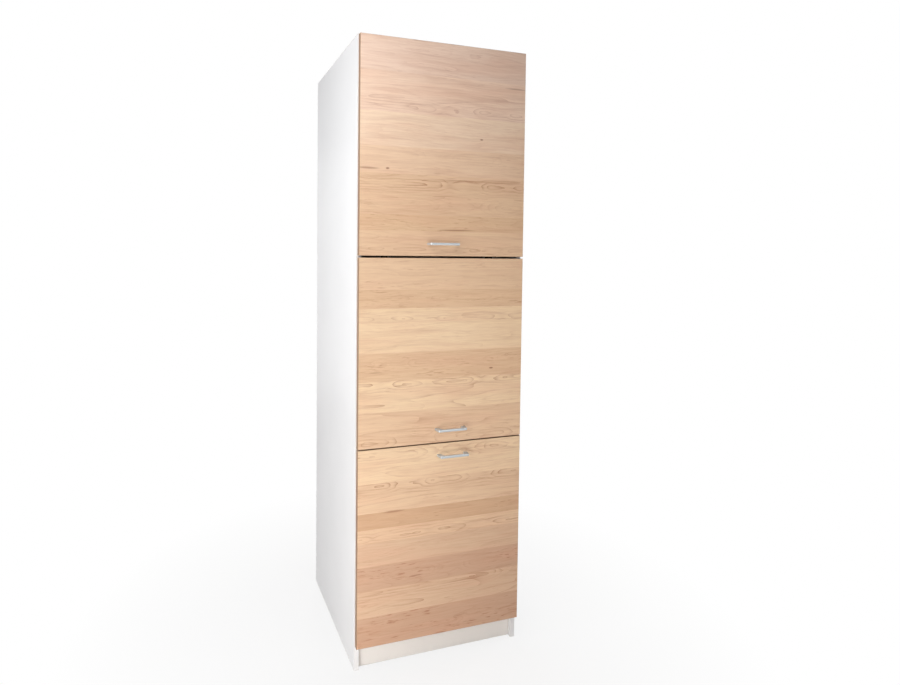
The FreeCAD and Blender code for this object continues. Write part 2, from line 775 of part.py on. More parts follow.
# Pull-out box behind the lower front
lower_blank = front_board("lower_front", lower_bottom, lower_top)
lower_holes = handle("lower", s.lower_handle_shift, lower_top - s.handle_from_edge)
box_half = inner - s.runner_room
box_low = base_top + s.drawer_lift
box_inside = box_half - s.drawer_side
box_rear = door_back + s.drawer_depth
box_ys = (door_back, box_rear)
side_zs = (box_low, box_low + s.drawer_side_height)
inner_front_y = door_back + s.drawer_side
inner_back_y = box_rear - s.drawer_side
keep(box("drawer_left_side", (-box_half, -box_inside), box_ys, side_zs))
keep(box("drawer_right_side", (box_inside, box_half), box_ys, side_zs))
back_zs = (box_low, box_low + s.drawer_back_height)
keep(box("drawer_back", (-box_inside, box_inside), (inner_back_y, box_rear), back_zs))
floor_zs = (box_low + s.drawer_floor_lift, box_low + s.drawer_floor_lift + s.drawer_floor)
keep(box("drawer_bottom", (-box_inside, box_inside), (inner_front_y, inner_back_y), floor_zs))
inner_front_blank = box("inner_front_blank", (-box_inside, box_inside), (door_back, inner_front_y), side_zs)
front_screws = []
front_bores = []
for side in (-1, 1):
    for row in (0, 1):
        at = (s.front_screw_spacing * side / 2, box_low + s.front_screw_rise + s.front_screw_pitch * row)
        bore = rod("front_bore", "y", s.screw_radius + s.slack,
                   (door_back - s.screw_length - s.slack, inner_front_y + s.overrun), at)
        front_bores.append(bore)
        front_screws.append(fused("front_screw", [
            rod("front_screw_shank", "y", s.screw_radius, (door_back - s.screw_length, inner_front_y), at),
            rod("front_screw_head", "y", s.screw_head_radius,
                (inner_front_y, inner_front_y + s.screw_head_height), at),
        ]))
keep(cut("drawer_inner_front", inner_front_blank, front_bores))
keep(group("drawer_front_screws", front_screws))
keep(cut("lower_front", lower_blank, lower_holes + front_bores))
rails = []
rail_z = back_zs[1] - s.rail_drop
for side in (-1, 1):
    at = ((box_inside - s.rail_flange_radius) * side, rail_z)
    rails.append(fused("rail", [
        rod("rail_bar", "y", s.rail_radius, (door_back, inner_back_y), at),
        rod("rail_front_flange", "y", s.rail_flange_radius, (door_back, door_back + s.rail_flange), at),
        rod("rail_back_flange", "y", s.rail_flange_radius, (inner_back_y - s.rail_flange, inner_back_y), at),
    ]))
keep(group("gallery_rails", rails))

# Full-extension runners: three channels one inside the other on each side
runner_z = box_low + s.runner_above_box
runner_ys = (front_y + s.runner_start, front_y + s.runner_start + s.runner_length)
member_half = s.runner_half
inner_half = s.runner_half - (s.runner_wall + s.runner_step) * 2
middle_half = s.runner_half - s.runner_wall - s.runner_step
cabinet_members = []
middle_members = []
drawer_members = []
runner_screws = []


def channel(label, side, web, lip, reach):
    """A channel along the runner: its web between two limits from the side, its lips out to a third."""
    web_xs = flip(side, inner - web[1], inner - web[0])
    lips = sorted((web[0], web[1], lip), key=float)
    lip_xs = flip(side, inner - lips[2], inner - lips[0])
    return fused(label, [
        box(label + "_web", web_xs, runner_ys, (runner_z - reach, runner_z + reach)),
        box(label + "_top", lip_xs, runner_ys, (runner_z + reach - s.runner_wall, runner_z + reach)),
        box(label + "_foot", lip_xs, runner_ys, (runner_z - reach, runner_z - reach + s.runner_wall)),
    ])


for side in (-1, 1):
    outer_web = (as_size(0), s.runner_wall)
    outer_lip = s.runner_room - s.runner_wall * 3
    member = channel("cabinet_member", side, outer_web, outer_lip, member_half)
    web_start = s.runner_wall + s.runner_lip
    middle_web = (web_start, web_start + s.runner_wall)
    middle_lip = s.runner_room - s.runner_wall - s.runner_lip
    middle_members.append(channel("middle_member", side, middle_web, middle_lip, middle_half))
    drawer_web = (s.runner_room - s.runner_wall, s.runner_room)
    drawer_lip = web_start + s.runner_wall + s.runner_lip
    drawer_members.append(channel("drawer_member", side, drawer_web, drawer_lip, inner_half))
    member_holes = []
    for share in (-1, 0, 1):
        screw_y = (runner_ys[0] + runner_ys[1]) / 2 + s.runner_screw_pitch * share
        at = (screw_y, runner_z)
        shank = flip(side, inner - s.runner_wall, inner + s.screw_length)
        hole = flip(side, inner - s.runner_wall, inner + s.screw_length + s.slack)
        tool = rod("runner_hole", "x", s.screw_radius + s.slack, hole, at)
        member_holes.append(tool)
        side_tools[side].append(tool)
        runner_screws.append(rod("runner_screw", "x", s.screw_radius, shank, at))
    cabinet_members.append(cut("cabinet_member_drilled", member, member_holes))
keep(group("runner_cabinet_members", cabinet_members))
keep(group("runner_middle_members", middle_members))
keep(group("runner_drawer_members", drawer_members))
keep(group("runner_screws", runner_screws))

# Fixed boards and sides, drilled for everything above
for label, (under, way) in fixed_boards.items():
    stock = box(label + "_stock", (-inner, inner), (front_y, rear_y), (under, under + s.board))
    bored = cut(label + "_bored", stock, board_tools[label])
    keep(cut(label, bored, channel_tools[label]))
for label, side in (("left_side_panel", -1), ("right_side_panel", 1)):
    stock = box(label + "_stock", flip(side, inner, half), (front_y, back_y), (s.glide_height, s.carcass_height))
    keep(cut(label, stock, side_tools[side]))

doc.recompute()
for piece in doc.Objects:
    bad = [word for word in piece.State if word in ("Invalid", "Error")]
    if bad:
        raise RuntimeError(f"{piece.Label} did not build: {bad}")
for piece in nodes:
    if piece.Shape.isNull() or not piece.Shape.isValid() or not piece.Shape.Solids:
        raise RuntimeError(f"{piece.Label} has no sound solid")
os.makedirs("parts", exist_ok=True)
for piece in nodes:
    piece.Shape.exportStep(os.path.join("parts", piece.Label + ".step"))
print(len(nodes), "pieces written")
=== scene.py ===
import math
import random

import bmesh
import bpy
from mathutils import Matrix, Vector


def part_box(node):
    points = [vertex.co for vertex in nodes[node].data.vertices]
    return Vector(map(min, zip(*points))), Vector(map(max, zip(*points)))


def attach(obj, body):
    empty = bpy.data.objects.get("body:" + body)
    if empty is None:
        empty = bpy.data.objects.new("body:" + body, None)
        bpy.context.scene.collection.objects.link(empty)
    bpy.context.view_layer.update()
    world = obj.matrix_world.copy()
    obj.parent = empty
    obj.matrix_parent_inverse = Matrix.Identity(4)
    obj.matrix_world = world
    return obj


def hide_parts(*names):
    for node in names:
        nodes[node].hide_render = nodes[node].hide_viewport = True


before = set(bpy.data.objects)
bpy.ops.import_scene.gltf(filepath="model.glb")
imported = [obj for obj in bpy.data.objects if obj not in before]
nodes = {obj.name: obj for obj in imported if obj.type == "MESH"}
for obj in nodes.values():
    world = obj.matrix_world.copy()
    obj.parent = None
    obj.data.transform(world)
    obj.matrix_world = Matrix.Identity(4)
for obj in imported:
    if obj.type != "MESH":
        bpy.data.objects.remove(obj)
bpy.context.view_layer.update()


# Side panels
# Two chipboard panels faced with white melamine. Only the long front edge has an edging strip;
# the other edges are bare chipboard. They stand on glides and carry every other board.
class Wire:
    """One socket of a node tree: arithmetic on it adds the Math nodes that it stands for."""

    def __init__(self, tree, socket=None):
        self.tree = tree
        self.socket = socket

    def node(self, kind, settings=None, sockets=None, out=0):
        """Adds a node, its settings before its sockets, and gives the wire of one output."""
        made = self.tree.nodes.new(kind)
        for name, value in (settings or {}).items():
            if name == "stops":
                ramp = made.color_ramp
                ramp.interpolation = "CONSTANT"
                while len(ramp.elements) < len(value):
                    ramp.elements.new(1.0)
                for stop, (place, colour) in zip(ramp.elements, value):
                    stop.position = place
                    stop.color = colour
            else:
                setattr(made, name, value)
        for name, value in (sockets or {}).items():
            for each in value if isinstance(value, list) else [value]:
                if isinstance(each, Wire):
                    self.tree.links.new(each.socket, made.inputs[name])
                else:
                    made.inputs[name].default_value = each
        return Wire(self.tree, made.outputs[out])

    def also(self, out):
        """Another output of the node that this wire leaves."""
        return Wire(self.tree, self.socket.node.outputs[out])

    def maths(self, operation, *others, clamp=False):
        """A Math node with this value first."""
        settings = {"operation": operation, "use_clamp": clamp}
        return self.node("ShaderNodeMath", settings, dict(enumerate((self, *others))))

    def __add__(self, other):
        return self.maths("ADD", other)

    def __sub__(self, other):
        return self.maths("SUBTRACT", other)

    def __rsub__(self, other):
        return self.node("ShaderNodeMath", {"operation": "SUBTRACT"}, {0: other, 1: self})

    def __mul__(self, other):
        return self.maths("MULTIPLY", other)

    def __truediv__(self, other):
        return self.maths("DIVIDE", other)

    def __pow__(self, other):
        return self.maths("POWER", other)

    def __abs__(self):
        return self.maths("ABSOLUTE")

    __radd__ = __add__
    __rmul__ = __mul__

    def above(self, limit, soft):
        """0 below the limit and 1 past it, over a soft step."""
        return (self - limit).maths("MULTIPLY", 1 / soft, clamp=True)

    def larger(self, other):
        """The larger of two values."""
        return self.maths("MAXIMUM", other)

    def parts(self):
        """The three coordinates of a vector."""
        first = self.node("ShaderNodeSeparateXYZ", None, {0: self})
        return [first, first.also(1), first.also(2)]

    def noise(self, stretch, detail=3.0, roughness=0.5, shift=(0, 0, 0)):
        """Noise whose cells are 1 / stretch metres long on each axis."""
        laid = self.node("ShaderNodeMapping", None, {
            "Vector": self, "Location": shift, "Scale": stretch})
        return self.node("ShaderNodeTexNoise", None, {
            "Vector": laid, "Scale": 1.0, "Detail": detail, "Roughness": roughness})

    def mix(self, first, second):
        """Two colours mixed with this value as the factor."""
        return self.node("ShaderNodeMix", {"data_type": "RGBA"}, {0: self, 6: first, 7: second}, 2)

    def bump(self, strength, depth):
        """A normal from this height."""
        return self.node("ShaderNodeBump", None, {
            "Strength": strength, "Distance": depth, "Height": self})


def paint(red, green, blue):
    """A screen colour, 0 to 255, as the shader's own numbers."""
    light = []
    for value in (red, green, blue):
        share = value / 255
        light.append(share / 12.92 if share <= 0.04045 else ((share + 0.055) / 1.055) ** 2.4)
    return (*light, 1.0)


def finish_named(name, **constants):
    """A new material with its fixed sockets set: the material, its shader and its place in metres."""
    material = bpy.data.materials.new(name)
    material.use_nodes = True
    shader = material.node_tree.nodes["Principled BSDF"]
    for socket, value in constants.items():
        shader.inputs[socket.replace("_", " ")].default_value = value
    place = Wire(material.node_tree).node("ShaderNodeTexCoord", None, None, "Object")
    return material, shader, place


def feed(shader, **wires):
    """Links what changes over the surface to the shader's sockets."""
    for socket, wire in wires.items():
        wire.tree.links.new(wire.socket, shader.inputs[socket.replace("_", " ")])


def dress(material, *names):
    """Gives CAD nodes a finish."""
    for name in names:
        mesh = nodes[name].data
        mesh.materials.clear()
        mesh.materials.append(material)


MELAMINE = paint(240, 240, 241)
MELAMINE_SHADE = paint(237, 237, 238)
EDGING = paint(246, 246, 247)
CHIP_LIGHT = paint(206, 176, 132)
CHIP_DARK = paint(132, 98, 64)
CHIPS_PER_METRE = 420.0
CHIP_SHARE = 0.75
SKIN = 0.0004
MELAMINE_ROUGH = 0.34
PEARL_ROUGH = 0.12
CHIP_ROUGH = 0.45


def chipboard(place):
    """Pressed chips in several browns, seen where a board has no edging."""
    chips = place.node("ShaderNodeTexVoronoi", {"feature": "F1"}, {
        "Vector": place, "Scale": CHIPS_PER_METRE}, 1)
    tone = place.node("ShaderNodeSeparateColor", None, {0: chips})
    dust = place.noise((900, 900, 900))
    return (tone * CHIP_SHARE + dust * (1 - CHIP_SHARE)).mix(CHIP_DARK, CHIP_LIGHT)


def white_board(node, bare, edge=EDGING):
    """White melamine on one board. bare lists the axes and ends whose edges show the chipboard, and
    edge is the colour of what faces the front."""
    low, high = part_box(node)
    material, shader, place = finish_named("white_melamine_" + node, IOR=1.45, Specular_IOR_Level=0.4)
    along = place.parts()
    cloud = place.noise((5, 5, 5), detail=2.0)
    pearl = place.noise((700, 700, 700), detail=2.0)
    white = cloud.above(0.35, 0.4).mix(MELAMINE, MELAMINE_SHADE)
    edging = (low.y + SKIN - along[1]).above(0.0, SKIN)
    colour = edging.mix(white, edge)
    mask = None
    for axis, end in bare:
        index = "xyz".index(axis)
        reach = along[index] - (high[index] - SKIN) if end > 0 else (low[index] + SKIN) - along[index]
        cover = reach.above(0.0, SKIN / 4)
        mask = cover if mask is None else mask.larger(cover)
    rough = MELAMINE_ROUGH + pearl * PEARL_ROUGH
    if mask is not None:
        colour = mask.mix(colour, chipboard(place))
        rough = rough + mask * CHIP_ROUGH
    feed(shader, Base_Color=colour, Roughness=rough, Normal=pearl.bump(0.08, 0.0002))
    dress(material, node)


white_board("left_side_panel", (("z", 1), ("z", -1), ("y", 1)))
white_board("right_side_panel", (("z", 1), ("z", -1), ("y", 1)))

# Top, base and fixed shelves
# Four boards of the same white chipboard between the sides, with the edging on their front edge.
# They are drawn to the sides by cam locks and kept in line by dowels.
for board in ("top_panel", "upper_fixed_shelf", "lower_fixed_shelf", "base_panel"):
    white_board(board, (("x", 1), ("x", -1), ("y", 1)))


# Cam locks, cam bolts and dowels
# Die-cast cams turn in holes in the boards and pull on steel bolts screwed into the sides. Each cam
# has a face with a crossed slot for the driver. The dowels beside them are turned beech.
def plated(name, bright, dull, rough):
    """Plated steel: a cool grey with faint clouding and fine scratches."""
    material, shader, place = finish_named(name, Metallic=1.0)
    cloud = place.noise((60, 60, 60))
    scratch = place.noise((1500, 90, 1500), detail=2.0)
    feed(shader, Base_Color=cloud.above(0.3, 0.4).mix(bright, dull),
         Roughness=rough + cloud * 0.1 + scratch * 0.08, Normal=scratch.bump(0.05, 0.0001))
    return material


SAME_CORNER = 1e-6
SPIN_SEED = 7


def lumps(node):
    """The loose solids of a CAD node, each as the list of its corners."""
    shape = bmesh.new()
    shape.from_mesh(nodes[node].data)
    bmesh.ops.remove_doubles(shape, verts=shape.verts, dist=SAME_CORNER)
    found = []
    for first in shape.verts:
        if first.tag:
            continue
        first.tag = True
        waiting = [first]
        corners = []
        while waiting:
            corner = waiting.pop()
            corners.append(corner.co.copy())
            for edge in corner.link_edges:
                other = edge.other_vert(corner)
                if not other.tag:
                    other.tag = True
                    waiting.append(other)
        found.append(corners)
    shape.free()
    return found


def span(corners):
    """Lowest and highest corner of a lump."""
    low = Vector([min(corner[index] for corner in corners) for index in range(3)])
    high = Vector([max(corner[index] for corner in corners) for index in range(3)])
    return low, high


def fitting_tree(name, *sizes):
    """A tree with one named input for each size: its input wires, the points among them."""
    tree = bpy.data.node_groups.new(name, "GeometryNodeTree")
    tree.interface.new_socket("Points", in_out="INPUT", socket_type="NodeSocketGeometry")
    for size in sizes:
        tree.interface.new_socket(size, in_out="INPUT", socket_type="NodeSocketFloat")
    tree.interface.new_socket("Finish", in_out="INPUT", socket_type="NodeSocketMaterial")
    tree.interface.new_socket("Fittings", in_out="OUTPUT", socket_type="NodeSocketGeometry")
    entry = tree.nodes.new("NodeGroupInput")
    return {socket.name: Wire(tree, socket) for socket in entry.outputs if socket.name}


def upward(wire, height):
    """A vector along z."""
    return wire.node("ShaderNodeCombineXYZ", None, {"Z": height})


def moved(shape, height):
    """A shape lifted along z."""
    lift = upward(shape, height)
    return shape.node("GeometryNodeTransform", None, {"Geometry": shape, "Translation": lift})


def domed(wire, radius, height, sink, sides=20, rings=3):
    """A disc on its seat whose top falls by sink towards its rim."""
    disc = wire.node("GeometryNodeMeshCylinder", {"fill_type": "NGON"}, {
        "Vertices": sides, "Side Segments": 1, "Fill Segments": rings, "Radius": radius,
        "Depth": height})
    x, y, z = wire.node("GeometryNodeInputPosition").parts()
    fall = (x * x + y * y) / (radius * radius) * sink
    top = wire.node("FunctionNodeCompare", {"data_type": "FLOAT", "operation": "GREATER_THAN"}, {
        0: z, 1: 0.0})
    crown = wire.node("GeometryNodeSetPosition", None, {
        "Geometry": disc, "Selection": top, "Offset": upward(wire, 0.0 - fall)})
    return moved(crown, height * 0.5)


def crossed(shape, reach, width, depth, top):
    """A shape less two crossed slots sunk into its top."""
    bars = []
    for across, along in ((reach, width), (width, reach)):
        size = shape.node("ShaderNodeCombineXYZ", None, {"X": across, "Y": along, "Z": depth * 2.0})
        bars.append(moved(shape.node("GeometryNodeMeshCube", None, {"Size": size}), top))
    return shape.node("GeometryNodeMeshBoolean", {"operation": "DIFFERENCE", "solver": "EXACT"}, {
        "Mesh 1": shape, "Mesh 2": bars})


def joined(*shapes):
    """Several shapes as one."""
    return shapes[0].node("GeometryNodeJoinGeometry", None, {"Geometry": list(shapes)})


def set_out(inputs, shape):
    """Ends a tree: the shape on every point, turned to the point's way and by a chance angle about it."""
    points = inputs["Points"]
    way = points.node("GeometryNodeInputNamedAttribute", {"data_type": "FLOAT_VECTOR"}, {"Name": "way"})
    aligned = points.node("FunctionNodeAlignRotationToVector", {"axis": "Z"}, {"Vector": way})
    chance = points.node("FunctionNodeRandomValue", {"data_type": "FLOAT"}, {
        2: 0.0, 3: math.tau, "Seed": SPIN_SEED}, 1)
    spin = points.node("FunctionNodeAxisAngleToRotation", None, {"Axis": (0, 0, 1), "Angle": chance})
    turned = points.node("FunctionNodeRotateRotation", {"rotation_space": "LOCAL"}, {
        "Rotation": aligned, "Rotate By": spin})
    spread = points.node("GeometryNodeInstanceOnPoints", None, {
        "Points": points, "Instance": shape, "Rotation": turned})
    solid = points.node("GeometryNodeRealizeInstances", None, {"Geometry": spread})
    finished = points.node("GeometryNodeSetMaterial", None, {
        "Geometry": solid, "Material": inputs["Finish"]})
    exit_node = points.tree.nodes.new("NodeGroupOutput")
    points.tree.links.new(finished.socket, exit_node.inputs[0])
    return points.tree


def fittings(name, tree, seats, body, slot, **sizes):
    """One plain mesh with a tree's fitting on every seat, riding on a body."""
    mesh = bpy.data.meshes.new(name)
    mesh.from_pydata([seat for seat, way in seats], [], [])
    ways = mesh.attributes.new("way", "FLOAT_VECTOR", "POINT")
    for item, (seat, way) in zip(ways.data, seats):
        item.vector = way
    piece = bpy.data.objects.new(name, mesh)
    modifier = piece.modifiers.new(name, "NODES")
    modifier.node_group = tree
    for item in tree.interface.items_tree:
        if item.in_out == "INPUT" and item.name.replace(" ", "_") in sizes:
            modifier[item.identifier] = sizes[item.name.replace(" ", "_")]
    bpy.context.scene.collection.objects.link(piece)
    graph = bpy.context.evaluated_depsgraph_get()
    plain = bpy.data.meshes.new_from_object(piece.evaluated_get(graph))
    piece.modifiers.clear()
    piece.data = plain
    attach(piece, body)
    return piece


zinc = plated("zinc_plated_steel", paint(205, 208, 211), paint(176, 180, 186), 0.26)
die_cast = plated("die_cast_zinc", paint(188, 190, 192), paint(160, 163, 168), 0.4)
dress(die_cast, "cam_locks")
dress(zinc, "cam_bolts")
beech, shader, place = finish_named("raw_beech", Specular_IOR_Level=0.3)
fibre = place.noise((60, 900, 900), detail=4.0)
feed(shader, Base_Color=fibre.mix(paint(214, 178, 132), paint(178, 138, 94)),
     Roughness=0.6 + fibre * 0.2)
dress(beech, "wood_dowels")

CAM_FACE_RADIUS = 0.0071
CAM_FACE_HEIGHT = 0.00045
CAM_FACE_SINK = 0.0001
CAM_SLOT_REACH = 1.1
CAM_SLOT_WIDTH = 0.3
CAM_SLOT_DEPTH = 2.0
inputs = fitting_tree("cam_face", "Radius", "Height", "Sink")
radius = inputs["Radius"]
height = inputs["Height"]
face = domed(inputs["Points"], radius, height, inputs["Sink"])
face = crossed(face, radius * CAM_SLOT_REACH, radius * CAM_SLOT_WIDTH, height * CAM_SLOT_DEPTH, height)
cam_tree = set_out(inputs, face)
cam_seats = []
top_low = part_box("top_panel")[0]
for lump in lumps("cam_locks"):
    low, high = span(lump)
    middle = (low + high) / 2
    if middle.z > top_low.z:
        cam_seats.append(((middle.x, middle.y, high.z), (0, 0, 1)))
    else:
        cam_seats.append(((middle.x, middle.y, low.z), (0, 0, -1)))
fittings("cam_faces", cam_tree, cam_seats, "carcass", "zinc_steel", Finish=die_cast,
         Radius=CAM_FACE_RADIUS, Height=CAM_FACE_HEIGHT, Sink=CAM_FACE_SINK)

# Loose shelves and their pins
# One white shelf lies in each flap compartment on four steel pins pushed into the rows of holes.
# Each pin has a round end and a thin collar that stops it at the panel.
for board in ("upper_loose_shelf", "middle_loose_shelf"):
    white_board(board, (("y", 1),))
COLLAR_RADIUS = 0.0042
COLLAR_WIDTH = 0.0008
PIN_ROUNDING = 0.4
inputs = fitting_tree("shelf_pin", "Radius", "Reach", "Depth", "Collar radius", "Collar width")
radius = inputs["Radius"]
width = inputs["Collar width"]
pin = domed(inputs["Points"], radius, inputs["Reach"] + inputs["Depth"], radius * PIN_ROUNDING)
collar = domed(inputs["Points"], inputs["Collar radius"], width, width * PIN_ROUNDING)
pin_tree = set_out(inputs, joined(moved(pin, 0.0 - inputs["Depth"]), collar))
pin_seats = []
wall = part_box("right_side_panel")[0].x
for lump in lumps("shelf_pins"):
    low, high = span(lump)
    hand = 1 if low.x > 0 else -1
    pin_seats.append(((wall * hand, (low.y + high.y) / 2, (low.z + high.z) / 2), (-hand, 0, 0)))
    pin_sizes = {"Radius": (high.z - low.z) / 2, "Reach": wall - min(abs(low.x), abs(high.x)),
                 "Depth": max(abs(low.x), abs(high.x)) - wall}
pins = fittings("collared_shelf_pins", pin_tree, pin_seats, "carcass", "zinc_steel", Finish=zinc,
                Collar_radius=COLLAR_RADIUS, Collar_width=COLLAR_WIDTH, **pin_sizes)
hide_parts("shelf_pins")

# Back panels
# Thin hardboard, lacquered white inside and left brown outside, slid down grooves in the sides.
# A white plastic strip joins the two halves behind the upper fixed shelf.
HARDBOARD = paint(150, 112, 76)
HARDBOARD_DARK = paint(118, 84, 54)
FELT_SHARE = 0.6
for board in ("upper_back_panel", "lower_back_panel"):
    low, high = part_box(board)
    material, shader, place = finish_named("hardboard_" + board, Specular_IOR_Level=0.3)
    depth = place.parts()[1]
    felt = place.noise((500, 500, 500), detail=5.0, roughness=0.7)
    patch = place.noise((14, 14, 14))
    raw = (felt * FELT_SHARE + patch * (1 - FELT_SHARE)).mix(HARDBOARD, HARDBOARD_DARK)
    outside = (depth - (low.y + high.y) / 2).above(0.0, SKIN)
    feed(shader, Base_Color=outside.mix(MELAMINE, raw), Roughness=0.4 + outside * 0.4,
         Normal=(felt * outside).bump(0.2, 0.0003))
    dress(material, board)


def moulded(name, colour, shade, rough):
    """Moulded plastic with a fine eroded texture."""
    material, shader, place = finish_named(name, Specular_IOR_Level=0.45)
    grain = place.noise((1200, 1200, 1200), detail=2.0)
    cloud = place.noise((40, 40, 40))
    feed(shader, Base_Color=cloud.mix(colour, shade), Roughness=rough + grain * 0.15,
         Normal=grain.bump(0.1, 0.0001))
    return material


white_plastic = moulded("white_plastic", paint(240, 240, 238), paint(230, 230, 227), 0.4)
dress(white_plastic, "back_panel_joiner")

# Wall angles
# Two zinc-plated steel angles, bent from strip and screwed under the top panel, that take the
# wall screws through the back.
dress(zinc, "wall_brackets")

# Plinth
# A board in a warmer and paler white, set back between the sides and held by two steel angles under the
# base panel. The warm tint is the board's own; the extra paleness of its front is painted light that lifts
# it out of the shade under the fronts.
# Painted light: the plinth's front is paler than the other boards' edging, to offset the shade under the
# fronts.
WARM_WHITE_AND_PAINTED_LIGHT = paint(252, 248, 243)
white_board("plinth_panel", (("z", 1), ("z", -1), ("x", 1), ("x", -1)), WARM_WHITE_AND_PAINTED_LIGHT)
dress(zinc, "plinth_brackets")

# Floor glides
# Four white plastic buttons nailed under the side panels, slightly domed so that they slide.
GLIDE_SINK = 0.0008
BUTTON_SIDES = 24
inputs = fitting_tree("button", "Radius", "Height", "Sink")
button = domed(inputs["Points"], inputs["Radius"], inputs["Height"], inputs["Sink"], BUTTON_SIDES)
button_tree = set_out(inputs, button)
glide_seats = []
for lump in lumps("floor_glides"):
    low, high = span(lump)
    glide_seats.append((((low.x + high.x) / 2, (low.y + high.y) / 2, high.z), (0, 0, -1)))
glides = fittings("domed_glides", button_tree, glide_seats, "carcass", "white_plastic",
                  Finish=white_plastic, Radius=(high.x - low.x) / 2, Height=high.z - low.z, Sink=GLIDE_SINK)
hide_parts("floor_glides")

# Fronts
# Chipboard fronts with a maple decor on both faces, its grain lying across the cabinet in strips
# of differing tone, and a brown edging strip all round. Two are flaps and the lowest a pull-out.
MAPLE = {
    "shell": paint(246, 219, 200),
    "rose": paint(248, 220, 198),
    "pearl": paint(250, 224, 198),
    "cream": paint(247, 219, 183),
    "oat": paint(243, 212, 182),
    "honey": paint(239, 207, 173),
    "tan": paint(233, 199, 163),
    "bark": paint(221, 183, 148),
    "fawn": paint(228, 195, 164),
    "blush": paint(214, 176, 148),
}
FLECKS = {
    "shell": 0.3, "rose": 0.3, "pearl": 0.25, "cream": 0.25, "oat": 0.35, "honey": 0.4,
    "tan": 0.7, "bark": 1.0, "fawn": 0.45, "blush": 1.0,
}
WARM_GLOW = paint(228, 176, 148)
RING_BROWN = paint(186, 130, 98)
FLECK_BROWN = paint(164, 92, 58)
KNOT_BROWN = paint(138, 66, 40)
FRONT_EDGE = paint(150, 119, 92)
EDGING_WIDTH = 0.001
RING_STEP = 0.0085
RING_EDGE = 4.0
RING_SWAY = 0.02
RING_WOBBLE = 0.005
EYE_REACH = 0.042
CUTS_PER_METRE = 3.8
CUT_DEPTH = 0.004
CUT_WANDER = 0.13
GRAIN_SWAY = 0.035
GRAIN_WOBBLE = 0.003
CONTOURS = 8.0
CONTOUR_EDGE = 9.0
MARK_SOFT = 0.9
# How far apart in the plank the strips are cut, so that no two have the same figure
CUT_APART = (60.0, 23.0)
RINGS_APART = 7.0
GRAIN_APART = 9.0
# How strongly each kind of figure shows on the tone under it
CLOUD = 0.12
GLOW = 0.3
STREAK = 0.26
FIBRE = 0.2
CONTOUR_PLAIN = 0.1
CONTOUR_EYED = 0.4
RING_LINE = 0.8
FLECK = 0.6


